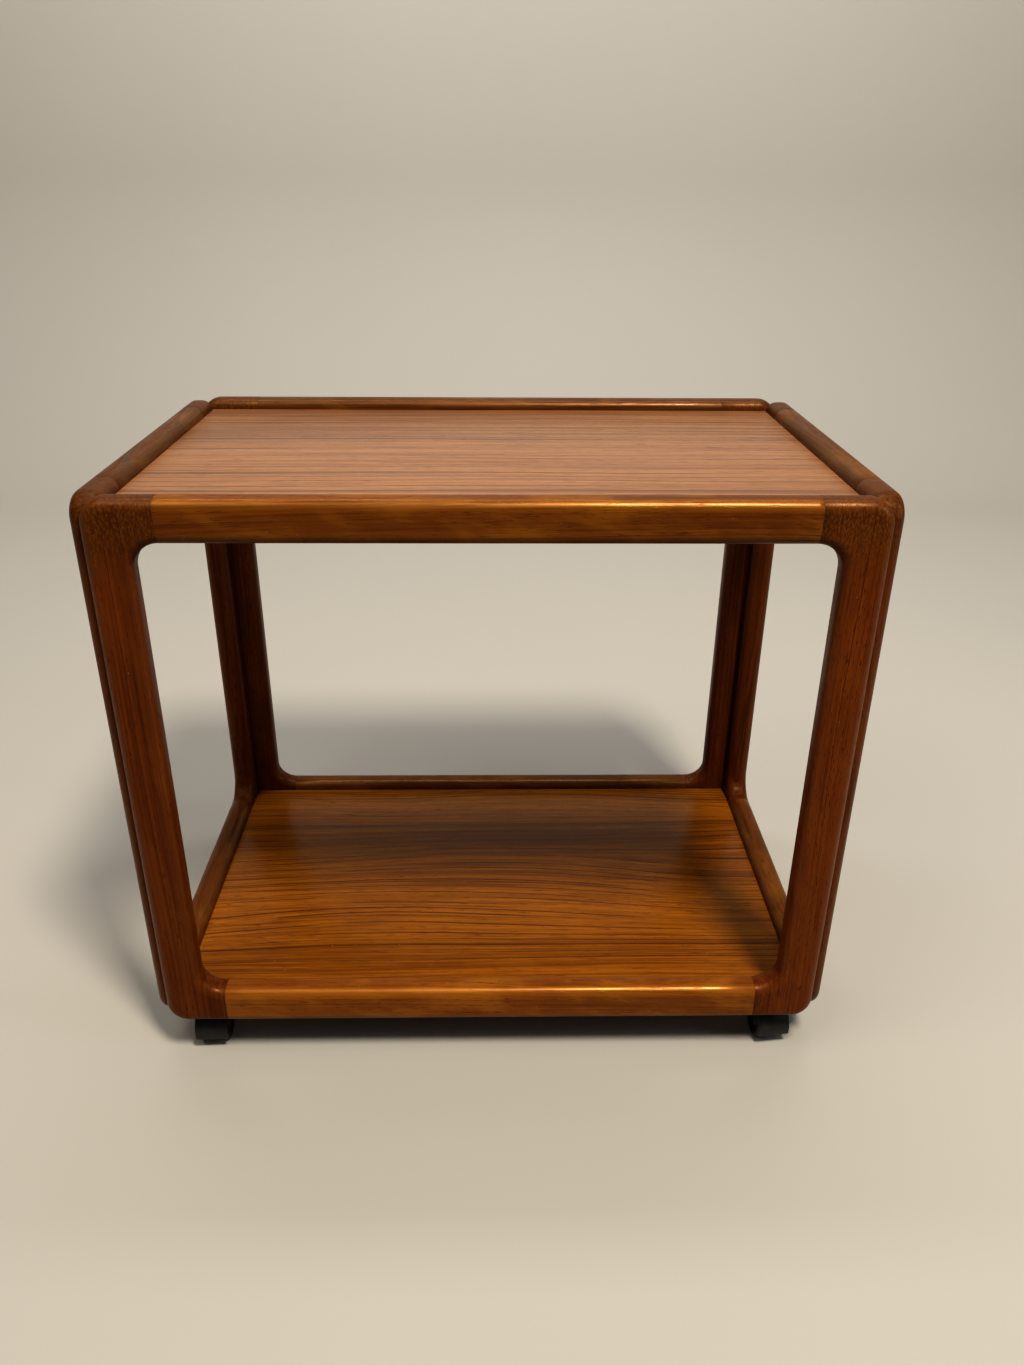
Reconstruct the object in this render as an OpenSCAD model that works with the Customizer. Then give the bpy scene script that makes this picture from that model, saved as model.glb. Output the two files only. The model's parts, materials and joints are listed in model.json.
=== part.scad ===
// Two-tier trolley table: four rounded wooden hoop frames joined at stepped corners,
// an inset tray on top, an inset shelf below, and four twin-wheel castors.
// Millimetres. The origin is on the floor under the middle of the table; the front faces -Y.

/* [Overall size] */
// Width over the two side frames
table_w = 750; // [640:5:900]
// Depth over the front and back frames
table_d = 467; // [400:1:600]
// Height from the floor to the top of the rails
table_h = 652; // [560:1:760]
// Height of the frames' underside above the floor
ground_gap = 50; // [50:1:60]

/* [Frames] */
// Thickness of every stile and rail
frame_t = 29; // [27:1:32]
// Width of the upright stiles of the front frame
front_stile_w = 42; // [40:1:56]
// Width of the upright stiles of the back frame
back_stile_w = 46; // [40:1:56]
// Width of the upright stiles of the side frames
side_stile_w = 37; // [34:1:56]
// Height of the top rails
top_rail_h = 42; // [40:1:50]
// Height of the bottom rails
bottom_rail_h = 44; // [44:1:54]
// Step in the plan of each upright corner, where one frame stands back from the next
corner_step = 13; // [12:1:15]
// Outside corner radius of each frame
outer_r = 24; // [20:1:30]
// Corner radius of the opening in each frame
inner_r = 25; // [14:1:30]
// Radius of the rounding along every long edge
edge_r = 11; // [6:0.5:11]

/* [Tray and shelf] */
// Thickness of the tray and of the shelf
panel_t = 12; // [9:1:12]
// Depth of the tray surface below the top of the rails
tray_drop = 12; // [11:1:14]
// Depth of the shelf surface below the top of the bottom rails
shelf_drop = 12; // [11:1:13]
// Thickness of the tongue round a panel's edge
tongue_t = 6; // [4:0.5:6]
// Depth of the groove that holds a panel's tongue
groove_depth = 8; // [6:0.5:9]
// Room for the tongue to move in the bottom of its groove
groove_play = 0.5; // [0.2:0.1:1]
// Gap between a panel's face and the frames round it
panel_gap = 0.4; // [0.2:0.1:1]

/* [Joinery] */
// Diameter of the dowels between stiles and rails
rail_dowel_d = 8; // [6:1:8]
// Length of the dowels between stiles and rails
rail_dowel_l = 50; // [30:1:50]
// Diameter of the dowels across the mitred corners
corner_dowel_d = 6; // [5:0.5:6]
// Length of the dowels across the mitred corners
corner_dowel_l = 24; // [18:1:24]
// Number of dowels in each mitred corner
corner_dowels_each = 4; // [2:1:6]
// Side of the square blocks that carry the castors
block_side = 58; // [54:1:64]

/* [Castors] */
// Distance from the outside of the table to a castor's swivel axis, along X and along Y
swivel_inset = [53.5, 52]; // [50:0.5:54]
// Direction each castor is turned to: front left, front right, back left, back right
castor_heading = [2, 7, 4, 9]; // [-180:1:180]
// Diameter of a wheel
wheel_d = 40; // [38:0.5:40]
// Width over the two wheels of a castor
castor_w = 36; // [34:1:38]
// Distance from the swivel axis back to the axle
castor_trail = 17.5; // [15:0.5:18]
// Side of the square mounting plate
plate_side = 40; // [38:1:42]

/* [Hidden] */
CORNERS = ["front_left", "front_right", "back_left", "back_right"];
SIDES = ["front", "back", "left", "right"];
CASTOR_PARTS = ["plate", "kingpin", "bush", "housing", "axle", "left_wheel", "right_wheel"];

$fn = 48;
over = 1;                // how far a cutter stands past the face it cuts
glue_gap = 0.05;         // radial play of a dowel or screw in its bore
fit = 0.05;              // radial running clearance of an axle or pin

// Frames
frame_h = table_h - ground_gap;
front_len = table_w - 2 * corner_step;
side_len = table_d - 2 * corner_step;
joint_run = 0.5;         // straight rail left on the stile past the fillet
mitre_w = frame_t - corner_step;

// Heights above the underside of the frames
tray_top = frame_h - tray_drop;
shelf_top = bottom_rail_h - shelf_drop;
tongue_drop = 3;         // from a panel's face down to its tongue
tongue_reach = frame_t - groove_depth + groove_play;

// Dowels
dowel_y = 11;            // from a frame's outer face to the middle of its dowels
dowel_edge = 12;         // from the outer edge of a rail to its first dowel
top_dowel_z = [frame_h - top_rail_h + dowel_edge, frame_h - dowel_edge];
bottom_dowel_z = [dowel_edge, bottom_rail_h - dowel_edge];
bore_relief = 1;         // empty length past each end of a dowel
corner_dowel_low = 90;
corner_dowel_high = frame_h - corner_dowel_low;
corner_dowel_pitch = (corner_dowel_high - corner_dowel_low) / (corner_dowels_each - 1);
corner_dowel_z = [for (i = [0:corner_dowels_each - 1]) corner_dowel_low + i * corner_dowel_pitch];

// Castors, heights above the floor
wheel_r = wheel_d / 2;
axle_r = 3;
plate_t = 2.5;
block_recess = 4;        // from the underside of the frames up to the blocks
block_t = shelf_top - panel_t - block_recess;
plate_top = ground_gap + block_recess;
plate_bottom = plate_top - plate_t;
plate_corner_r = 5;
screw_edge = 5.5;        // from the plate's edge to the middle of a screw
screw_pitch = plate_side - 2 * screw_edge;
screw_d = 4;
screw_room = 0.5;        // how much wider than a screw its hole in the plate is
screw_l = 17;
screw_head_d = 7.6;
screw_head_t = 2;
screw_head_taper = 2;
pin_r = 4;
pin_head_r = 5.5;
pin_head_t = 1.5;
bush_r = 6;
bush_flange_r = 8.5;
bush_flange_t = 1;
bush_play = 0.2;         // lengthwise play of the swivel
barrel_r = 9;
barrel_top = plate_bottom - bush_play - bush_flange_t;
pin_head_top = wheel_d + 1.5;
pin_room = 6;            // empty bore under the kingpin's head
hood_gap = 1.5;
hood_t = 2.2;
hood_skirt = 15;         // degrees that the hood reaches below the axle at each end
middle_t = 3;            // of the housing's web between the wheels
boss_r = 7;
boss_w = 10;
middle_gap = 0.5;        // between that web and a wheel's rim
hub_gap = 0.4;           // between the axle boss and a wheel's hub
wheel_inner = middle_t / 2 + middle_gap;
wheel_w = castor_w / 2 - wheel_inner;
rim_t = 4;
web_t = 3.5;
hub_r = 5.5;
hub_start = boss_w / 2 + hub_gap;
cap_t = 1.1;             // plastic left over the end of the axle
dish_depth = 1;
dish_r = [7, 14.5];      // of the dish turned into the outer face, at its floor
dish_flare = 0.4;        // how far its walls lean out
shoulder_r = [1, 2.5];   // inner and outer rounding of the tread

TEAK = "sienna";
TEAK_DARK = "saddlebrown";
VENEER = "peru";
BEECH = "burlywood";
STEEL = "silver";
PLASTIC = [0.09, 0.09, 0.10];
NYLON = "ivory";

// ---------- shared shapes ----------

// What a rounding bit takes off an edge. The edge is at the origin, the wood lies towards +X +Y.
module edge_waste() {
    difference() {
        translate([-over, -over]) square(edge_r + over);
        translate([edge_r, edge_r]) circle(edge_r);
    }
}

module rounded_rect(size, r) {
    difference() {
        square(size);
        for (x = [0, 1], y = [0, 1])
            translate([x * size.x, y * size.y]) mirror([x, 0]) mirror([0, y]) difference() {
                translate([-over, -over]) square(r + over);
                translate([r, r]) circle(r);
            }
    }
}

// Edge waste along X, from x = 0, for wood that lies towards +Y and +Z.
module straight_waste(length) {
    rotate([90, 0, 90]) linear_extrude(length) edge_waste();
}

// Edge waste round the outside of a quarter-turn corner: wood towards the centre and towards +Y.
module outer_corner_waste() {
    rotate([90, 0, 0]) mirror([0, 0, 1])
        rotate_extrude(angle = 90) translate([outer_r, 0]) mirror([1, 0]) edge_waste();
}

// Edge waste round the inside of a quarter-turn fillet: wood away from the centre and towards +Y.
module fillet_waste() {
    rotate([90, 0, 0]) mirror([0, 0, 1])
        rotate_extrude(angle = 90) translate([inner_r, 0]) edge_waste();
}

// Everything the rounding bit removes from one face of the left stile, seen from that face.
module stile_edge_waste(width) {
    fillet_x = width + inner_r;
    for (top = [0, 1])
        translate([0, 0, top * frame_h]) mirror([0, 0, top]) {
            rail_h = top == 1 ? top_rail_h : bottom_rail_h;
            translate([outer_r, 0, 0]) straight_waste(fillet_x);
            translate([outer_r, 0, outer_r]) rotate([0, 180, 0]) outer_corner_waste();
            translate([fillet_x, 0, rail_h]) mirror([0, 0, 1]) straight_waste(fillet_x);
            translate([fillet_x, 0, rail_h + inner_r]) rotate([0, 180, 0]) fillet_waste();
        }
    translate([0, 0, outer_r]) rotate([0, -90, 0]) mirror([0, 0, 1])
        straight_waste(frame_h - 2 * outer_r);
    translate([width, 0, bottom_rail_h + inner_r]) rotate([0, -90, 0])
        straight_waste(frame_h - bottom_rail_h - top_rail_h - 2 * inner_r);
}

// ---------- frames ----------
// Each frame is drawn flat: X along it, Y from its outer face inwards, Z up from its underside.

module stile_outline(width, joint) {
    difference() {
        intersection() {
            rounded_rect([2 * joint, frame_h], outer_r);
            square([joint, frame_h]);
        }
        translate([width, bottom_rail_h])
            rounded_rect([2 * joint, frame_h - bottom_rail_h - top_rail_h], inner_r);
    }
}

// Grooves for the tray and the shelf, along the inner face.
module grooves(length) {
    for (top = [tray_top, shelf_top])
        translate([-over, frame_t - groove_depth, top - tongue_drop - tongue_t])
            cube([length + 2 * over, groove_depth + over, tongue_t]);
}

// Dowels, or their bores, across both joints of the stile at the left end of a frame.
module across_joints(joint, r, length) {
    for (z = concat(top_dowel_z, bottom_dowel_z))
        translate([joint, dowel_y, z]) rotate([0, 90, 0])
            cylinder(r = r, h = length, center = true);
}

module rail_dowel_bores(joint) {
    across_joints(joint, rail_dowel_d / 2, rail_dowel_l + 2 * bore_relief);
}

// Axis of a corner dowel, square to the mitre and centred on it.
module at_corner_dowels() {
    for (z = corner_dowel_z)
        translate([mitre_w / 2, corner_step + mitre_w / 2, z]) rotate([90, 0, 45]) children();
}

// The stile at the left end of a frame, its outer edge at x = 0.
module stile_solid(width, joint) {
    difference() {
        translate([0, frame_t, 0]) rotate([90, 0, 0]) linear_extrude(frame_t)
            stile_outline(width, joint);
        stile_edge_waste(width);
        translate([0, frame_t, 0]) mirror([0, 1, 0]) stile_edge_waste(width);
        // mitre against the stile of the next frame
        translate([0, corner_step, -over]) rotate(45)
            translate([-frame_t, 0, 0]) cube([3 * frame_t, frame_t, frame_h + 2 * over]);
        grooves(joint);
        rail_dowel_bores(joint);
        at_corner_dowels()
            cylinder(d = corner_dowel_d, h = corner_dowel_l + 2 * bore_relief, center = true);
    }
}

// A rail between the stiles of a frame of the given length.
module rail_solid(length, joint, height, z) {
    difference() {
        translate([joint, 0, z]) rotate([90, 0, 90]) linear_extrude(length - 2 * joint)
            rounded_rect([frame_t, height], edge_r);
        grooves(length);
        at_both_ends(length) rail_dowel_bores(joint);
    }
}

module at_both_ends(length) {
    children();
    translate([length, 0, 0]) mirror([1, 0, 0]) children();
}

// Puts a frame drawn flat, from x = 0 to its length, on its side of the table.
module on_side(side) {
    flip = side == "back" || side == "right";
    mirror([is_end(side) && flip ? 1 : 0, !is_end(side) && flip ? 1 : 0, 0])
        translate(is_end(side) ? [-table_w / 2, side_len / 2, ground_gap]
                               : [-front_len / 2, -table_d / 2, ground_gap])
            rotate(is_end(side) ? -90 : 0) children();
}

function is_end(side) = side == "left" || side == "right";
function frame_length(side) = is_end(side) ? side_len : front_len;
function frame_stile_w(side) =
    is_end(side) ? side_stile_w : side == "back" ? back_stile_w : front_stile_w;
function frame_joint(side) = frame_stile_w(side) + inner_r + joint_run;

// The second end is the right end of the front and back frames, and the front of the side ones.
module stile(side, second) {
    length = frame_length(side);
    color(TEAK_DARK) on_side(side)
        translate([second ? length : 0, 0, 0]) mirror([second ? 1 : 0, 0, 0])
            stile_solid(frame_stile_w(side), frame_joint(side));
}

module top_rail(side) {
    color(TEAK) on_side(side)
        rail_solid(frame_length(side), frame_joint(side), top_rail_h, frame_h - top_rail_h);
}

module bottom_rail(side) {
    color(TEAK) on_side(side)
        rail_solid(frame_length(side), frame_joint(side), bottom_rail_h, 0);
}

module rail_dowels() {
    color(BEECH)
        for (side = SIDES)
            on_side(side) at_both_ends(frame_length(side))
                across_joints(frame_joint(side), rail_dowel_d / 2 - glue_gap, rail_dowel_l);
}

module corner_dowels() {
    color(BEECH)
        for (side = ["front", "back"])
            on_side(side) at_both_ends(front_len) at_corner_dowels()
                cylinder(r = corner_dowel_d / 2 - glue_gap, h = corner_dowel_l, center = true);
}

// ---------- tray and shelf ----------

// A flat slab in the middle of the table, its edge that far inside the table's outside.
module slab(inset, top, thickness) {
    size = [table_w - 2 * inset, table_d - 2 * inset, thickness];
    translate([-size.x / 2, -size.y / 2, top - thickness]) cube(size);
}

module panel(top) {
    color(VENEER) translate([0, 0, ground_gap]) {
        slab(frame_t + panel_gap, top, panel_t);
        slab(tongue_reach, top - tongue_drop, tongue_t);
    }
}

module tray_panel() {
    panel(tray_top);
}

module shelf_panel() {
    panel(shelf_top);
}

// ---------- castors ----------

// Mirrors a shape drawn for the back right corner into corner i.
module in_corner(i) {
    mirror([i % 2 == 0 ? 1 : 0, 0, 0]) mirror([0, i < 2 ? 1 : 0, 0]) children();
}

function swivel_at(i) = [
    (i % 2 == 0 ? -1 : 1) * (table_w / 2 - swivel_inset.x),
    (i < 2 ? -1 : 1) * (table_d / 2 - swivel_inset.y)
];

module at_swivel(i) {
    translate(swivel_at(i)) children();
}

module at_screws() {
    for (x = [-1, 1], y = [-1, 1])
        translate([x * screw_pitch / 2, y * screw_pitch / 2, 0]) children();
}

module corner_block(i) {
    inner = [table_w / 2 - frame_t, table_d / 2 - frame_t];
    cut = 16;            // length of the cut across the block's free corner
    color(BEECH) difference() {
        in_corner(i) translate([inner.x - block_side, inner.y - block_side, plate_top])
            linear_extrude(block_t)
                polygon([[cut, 0], [block_side, 0], [block_side, block_side],
                         [0, block_side], [0, cut]]);
        at_swivel(i) at_screws()
            translate([0, 0, plate_top - over]) cylinder(d = screw_d, h = screw_l);
    }
}

module castor_plate(i) {
    color(STEEL) at_swivel(i) difference() {
        translate([-plate_side / 2, -plate_side / 2, plate_bottom])
            linear_extrude(plate_t) rounded_rect([plate_side, plate_side], plate_corner_r);
        translate([0, 0, plate_bottom - over]) cylinder(r = pin_r, h = plate_t + 2 * over);
        translate([0, 0, plate_bottom - over]) at_screws()
            cylinder(d = screw_d + screw_room, h = plate_t + 2 * over);
    }
}

module castor_screws() {
    color(STEEL)
        for (i = [0:3])
            at_swivel(i) at_screws() translate([0, 0, plate_bottom - screw_head_t]) {
                cylinder(d1 = screw_head_d - screw_head_taper, d2 = screw_head_d,
                         h = screw_head_t / 2, $fn = 32);
                translate([0, 0, screw_head_t / 2])
                    cylinder(d = screw_head_d, h = screw_head_t / 2);
                cylinder(r = screw_d / 2 - glue_gap, h = screw_l);
            }
}

module castor_kingpin(i) {
    color(STEEL) at_swivel(i) {
        translate([0, 0, pin_head_top]) cylinder(r = pin_r, h = plate_top - pin_head_top);
        translate([0, 0, pin_head_top - pin_head_t]) cylinder(r = pin_head_r, h = pin_head_t);
    }
}

module castor_bush(i) {
    color(NYLON) at_swivel(i) difference() {
        union() {
            translate([0, 0, pin_head_top + bush_play])
                cylinder(r = bush_r, h = barrel_top - pin_head_top - bush_play);
            translate([0, 0, barrel_top]) cylinder(r = bush_flange_r, h = bush_flange_t);
        }
        translate([0, 0, pin_head_top]) cylinder(r = pin_r + fit, h = plate_top);
    }
}

// Castor frame: swivel axis at the origin, axle behind it towards -Y, parallel to X.
module at_castor(i) {
    at_swivel(i) rotate(castor_heading[i]) children();
}

module at_axle() {
    translate([0, -castor_trail, wheel_r]) rotate([0, 90, 0]) children();
}

// The hood over both wheels, before their space is cut out of it.
module hood_blank() {
    translate([0, -castor_trail, wheel_r]) rotate([-hood_skirt, 0, 0])
        rotate([90, 0, 90]) rotate_extrude(angle = 180 + 2 * hood_skirt)
            translate([wheel_r / 2, -castor_w / 2])
                square([wheel_r / 2 + hood_gap + hood_t, castor_w]);
}

module wheel_space() {
    at_axle() cylinder(r = wheel_r + hood_gap, h = castor_w + 2 * over, center = true);
}

// The flat web between the wheels, from the axle up to the hood.
module web_outline() {
    hood_mid = wheel_r + hood_gap + hood_t / 2;
    translate([-castor_trail, wheel_r])
        polygon(concat([for (a = [0:15:180]) hood_mid * [cos(a), sin(a)]], [[0, -boss_r]]));
}

module castor_housing(i) {
    color(PLASTIC) at_castor(i) difference() {
        union() {
            difference() {
                union() {
                    hood_blank();
                    translate([0, 0, wheel_r]) cylinder(r = barrel_r, h = barrel_top - wheel_r);
                }
                wheel_space();
            }
            translate([-middle_t / 2, 0, 0]) rotate([90, 0, 90]) linear_extrude(middle_t) web_outline();
            at_axle() cylinder(r = boss_r, h = boss_w, center = true);
        }
        at_axle() cylinder(r = axle_r, h = 2 * castor_w, center = true);
        translate([0, 0, pin_head_top - pin_head_t - pin_room])
            cylinder(r = bush_r, h = barrel_top);
    }
}

module castor_axle(i) {
    color(STEEL) at_castor(i) at_axle()
        cylinder(r = axle_r, h = castor_w - 2 * cap_t - 2 * bush_play, center = true);
}

// One wheel, turned about Z: rim, web, hub, and a blind bore for the axle.
module wheel_solid() {
    outer = wheel_inner + wheel_w;
    difference() {
        rotate_extrude() difference() {
            union() {
                translate([wheel_r - rim_t, wheel_inner]) square([rim_t, wheel_w]);
                translate([0, outer - web_t]) square([wheel_r, web_t]);
                translate([0, hub_start]) square([hub_r, outer - hub_start]);
            }
            translate([wheel_r, outer]) rotate(180) difference() {
                translate([-over, -over]) square(shoulder_r[1] + over);
                translate([shoulder_r[1], shoulder_r[1]]) circle(shoulder_r[1]);
            }
            translate([wheel_r, wheel_inner]) mirror([1, 0]) difference() {
                translate([-over, -over]) square(shoulder_r[0] + over);
                translate([shoulder_r[0], shoulder_r[0]]) circle(shoulder_r[0]);
            }
            polygon([
                [dish_r[0], outer - dish_depth], [dish_r[1], outer - dish_depth],
                [dish_r[1] + dish_flare, outer], [dish_r[1] + dish_flare, outer + over],
                [dish_r[0] - dish_flare, outer + over], [dish_r[0] - dish_flare, outer]
            ]);
        }
        cylinder(r = axle_r + fit, h = outer - cap_t);
    }
}

module castor_wheel(i, right) {
    color(PLASTIC) at_castor(i) at_axle() mirror([0, 0, right ? 0 : 1]) wheel_solid();
}

// ---------- nodes ----------

for (side = ["front", "back"]) {
    stile(side, false);
    stile(side, true);
}
for (side = ["left", "right"]) {
    stile(side, false);
    stile(side, true);
}
for (side = SIDES) {
    top_rail(side);
    bottom_rail(side);
}
tray_panel();
shelf_panel();
rail_dowels();
corner_dowels();
castor_screws();
for (i = [0:3]) {
    corner_block(i);
    castor_plate(i);
    castor_kingpin(i);
    castor_bush(i);
    castor_housing(i);
    castor_axle(i);
    castor_wheel(i, false);
    castor_wheel(i, true);
}
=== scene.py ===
"""Two-tier trolley table: its looks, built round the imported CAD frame.

Metres, in the CAD's own frame: the origin is on the floor under the middle, the front faces -Y.
The wood is four hoop frames of two stiles and two rails each, with a tray and a shelf in their
grooves; under the corners are blocks and twin-wheel castors.
"""

import json
import math
import random

import bmesh
import bpy
from mathutils import Matrix, Vector


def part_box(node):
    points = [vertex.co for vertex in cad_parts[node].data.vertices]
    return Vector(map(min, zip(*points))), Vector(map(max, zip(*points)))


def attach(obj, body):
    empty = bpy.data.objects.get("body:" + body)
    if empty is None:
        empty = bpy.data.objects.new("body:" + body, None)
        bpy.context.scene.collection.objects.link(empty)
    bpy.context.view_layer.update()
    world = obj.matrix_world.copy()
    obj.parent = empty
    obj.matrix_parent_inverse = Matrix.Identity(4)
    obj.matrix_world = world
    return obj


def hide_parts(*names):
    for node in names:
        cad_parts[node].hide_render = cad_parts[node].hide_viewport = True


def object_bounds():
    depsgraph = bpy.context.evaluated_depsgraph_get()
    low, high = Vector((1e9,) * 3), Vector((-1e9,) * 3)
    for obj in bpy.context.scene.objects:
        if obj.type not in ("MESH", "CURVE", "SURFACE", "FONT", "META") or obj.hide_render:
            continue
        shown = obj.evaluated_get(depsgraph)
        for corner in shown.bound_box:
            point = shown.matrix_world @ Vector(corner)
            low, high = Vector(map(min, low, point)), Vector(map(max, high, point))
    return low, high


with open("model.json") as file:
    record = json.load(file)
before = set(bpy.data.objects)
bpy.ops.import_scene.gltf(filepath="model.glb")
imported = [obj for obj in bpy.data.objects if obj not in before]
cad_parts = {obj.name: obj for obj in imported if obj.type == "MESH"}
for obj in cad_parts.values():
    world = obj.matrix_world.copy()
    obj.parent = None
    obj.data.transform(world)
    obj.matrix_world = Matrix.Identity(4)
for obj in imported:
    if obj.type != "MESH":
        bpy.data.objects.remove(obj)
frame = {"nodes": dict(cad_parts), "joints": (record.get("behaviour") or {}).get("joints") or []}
cad_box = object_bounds()

TABLE_TOP = cad_box[1].z
CORNERS = ("front_left", "front_right", "back_left", "back_right")
FRONT_BACK = ("front", "back")

# Shapes that the nodes' boxes don't give
OUTER_R = 0.024          # outside corners of a frame
INNER_R = 0.025          # corners of a frame's opening
EDGE_R = 0.011           # rounding along every long edge
JOINT_RUN = 0.0005       # straight rail left on a stile past its fillet
GROOVE_DEPTH = 0.008
TONGUE_DROP = 0.003      # from a panel's face down to its tongue
TONGUE_T = 0.006
PANEL_GAP = 0.0004       # between a panel's face and the frames
DOWEL_IN = 0.011         # from a frame's outer face to its dowels
DOWEL_EDGE = 0.012       # from a rail's outer edge to its first dowel
RAIL_BORE = (0.004, 0.052)       # radius and length
CORNER_BORE = (0.003, 0.026)     # the same, across a mitred corner
CORNER_DOWEL_LOW = 0.090  # lowest dowel of a mitred corner
CORNER_DOWELS = 4
EASE = 0.0003            # easing of the edges at a joint
GLUE_LINE = 0.00015      # by which a mitred face stands back, so that the joint shows
SUPPORT = 0.0006         # flat strip that keeps shading flat beside a rounding

# Fineness of the meshes
ARC_STEPS = 14
STRAIGHT_STEPS = 14
ROUND_STEPS = 8
TURN_STEPS = 72


# ---------- mesh helpers ----------

def new_piece(name, mesh):
    """An object of that mesh, shaded smooth except across hard edges."""
    mesh.name = name
    for polygon in mesh.polygons:
        polygon.use_smooth = True
    mesh.set_sharp_from_angle(angle=math.radians(32))
    piece = bpy.data.objects.new(name, mesh)
    bpy.context.scene.collection.objects.link(piece)
    return piece


def to_mesh(bm, name="part"):
    bmesh.ops.recalc_face_normals(bm, faces=bm.faces)
    mesh = bpy.data.meshes.new(name)
    bm.to_mesh(mesh)
    bm.free()
    return mesh


def loft(rings, around=True, along=True):
    """Quads between rings of equal length; around closes each ring, along joins the last to the first."""
    bm = bmesh.new()
    rows = [[bm.verts.new(point) for point in ring] for ring in rings]
    count = len(rows[0])
    pairs = list(zip(rows, rows[1:])) + ([(rows[-1], rows[0])] if along else [])
    for low, high in pairs:
        for i in range(count if around else count - 1):
            j = (i + 1) % count
            bm.faces.new((low[i], low[j], high[j], high[i]))
    return bm


def rounded_outline(x0, z0, x1, z1, r):
    """A rounded rectangle with as many points for any size, so that rings of it loft together."""
    centres = ((x1 - r, z0 + r, -90), (x1 - r, z1 - r, 0), (x0 + r, z1 - r, 90), (x0 + r, z0 + r, 180))
    arcs = []
    for cx, cz, start in centres:
        angles = [math.radians(start + 90 * k / ARC_STEPS) for k in range(ARC_STEPS + 1)]
        arcs.append([Vector((cx + r * math.cos(a), cz + r * math.sin(a))) for a in angles])
    points = []
    for arc, following in zip(arcs, arcs[1:] + arcs[:1]):
        points += arc
        points += [arc[-1].lerp(following[0], k / STRAIGHT_STEPS) for k in range(1, STRAIGHT_STEPS)]
    return points


def filleted(points, radii, steps=5):
    """A closed outline with each corner rounded to its radius."""
    made = []
    points = [Vector(p) for p in points]
    for i, (corner, radius) in enumerate(zip(points, radii)):
        if not radius:
            made.append(corner)
            continue
        back = (points[i - 1] - corner).normalized()
        ahead = (points[(i + 1) % len(points)] - corner).normalized()
        half = back.angle(ahead) / 2
        centre = corner + (back + ahead).normalized() * radius / math.sin(half)
        first = corner + back * radius / math.tan(half) - centre
        last = corner + ahead * radius / math.tan(half) - centre
        start = math.atan2(first.y, first.x)
        sweep = (math.atan2(last.y, last.x) - start + math.pi) % (2 * math.pi) - math.pi
        for k in range(steps + 1):
            angle = start + sweep * k / steps
            made.append(centre + radius * Vector((math.cos(angle), math.sin(angle))))
    return made


def slab(outline, z0, z1, ease):
    """A flat plate of that outline, with its rims eased."""
    bm = bmesh.new()
    low = [bm.verts.new((p[0], p[1], z0)) for p in outline]
    high = [bm.verts.new((p[0], p[1], z1)) for p in outline]
    rims = [bm.faces.new(list(reversed(low))), bm.faces.new(high)]
    for i in range(len(outline)):
        j = (i + 1) % len(outline)
        bm.faces.new((low[i], low[j], high[j], high[i]))
    bmesh.ops.recalc_face_normals(bm, faces=bm.faces)
    if ease:
        edges = list({edge for face in rims for edge in face.edges})
        bmesh.ops.bevel(bm, geom=edges, offset=ease, segments=3, profile=0.5, affect="EDGES")
    return to_mesh(bm)


def rectangle(x0, y0, x1, y1):
    return [(x0, y0), (x1, y0), (x1, y1), (x0, y1)]


def turned(profile, closed=False):
    """A solid turned round Z from (radius, height) points; points on the axis become poles."""
    bm = bmesh.new()
    rows = []
    for radius, height in profile:
        if radius < 1e-7:
            rows.append([bm.verts.new((0, 0, height))])
            continue
        angles = [2 * math.pi * k / TURN_STEPS for k in range(TURN_STEPS)]
        rows.append([bm.verts.new((radius * math.cos(a), radius * math.sin(a), height)) for a in angles])
    for low, high in list(zip(rows, rows[1:])) + ([(rows[-1], rows[0])] if closed else []):
        for k in range(TURN_STEPS):
            n = (k + 1) % TURN_STEPS
            corners = [low[k % len(low)], low[n % len(low)], high[n % len(high)], high[k % len(high)]]
            bm.faces.new(list(dict.fromkeys(corners)))
    return to_mesh(bm)


def turned_filleted(profile, radii, steps=5):
    """Like turned, for a profile from axis to axis whose corners are rounded."""
    return turned(filleted(profile, radii, steps))


def moved(mesh, matrix):
    copy = mesh.copy()
    copy.transform(matrix)
    if matrix.is_negative:
        copy.flip_normals()
    return copy


def joined(meshes):
    bm = bmesh.new()
    for mesh in meshes:
        bm.from_mesh(mesh)
    return to_mesh(bm)


def combined(base, tool, operation="DIFFERENCE"):
    """Exact boolean of two meshes."""
    made = bpy.data.objects.new("base", base)
    other = bpy.data.objects.new("tool", tool)
    for obj in (made, other):
        bpy.context.scene.collection.objects.link(obj)
    step = made.modifiers.new("cut", "BOOLEAN")
    step.object = other
    step.operation = operation
    step.solver = "EXACT"
    step.use_self = operation == "DIFFERENCE"
    evaluated = made.evaluated_get(bpy.context.evaluated_depsgraph_get())
    result = bpy.data.meshes.new_from_object(evaluated)
    for obj in (made, other):
        bpy.data.objects.remove(obj)
    return result


def rod(radius, length, centre, axis):
    """A plain cylinder, used as a cutter or a hidden core."""
    profile = [(0, -length / 2), (radius, -length / 2), (radius, length / 2), (0, length / 2)]
    turn = Vector(axis).to_track_quat("Z", "Y").to_matrix().to_4x4()
    return moved(turned(profile), Matrix.Translation(centre) @ turn)


def bar(low, high):
    """A plain box, used as a cutter."""
    return slab(rectangle(low[0], low[1], high[0], high[1]), low[2], high[2], 0)


# ---------- frames ----------
# A frame is made flat: X along it, Y from its outer face inwards, Z up from its underside.

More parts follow.
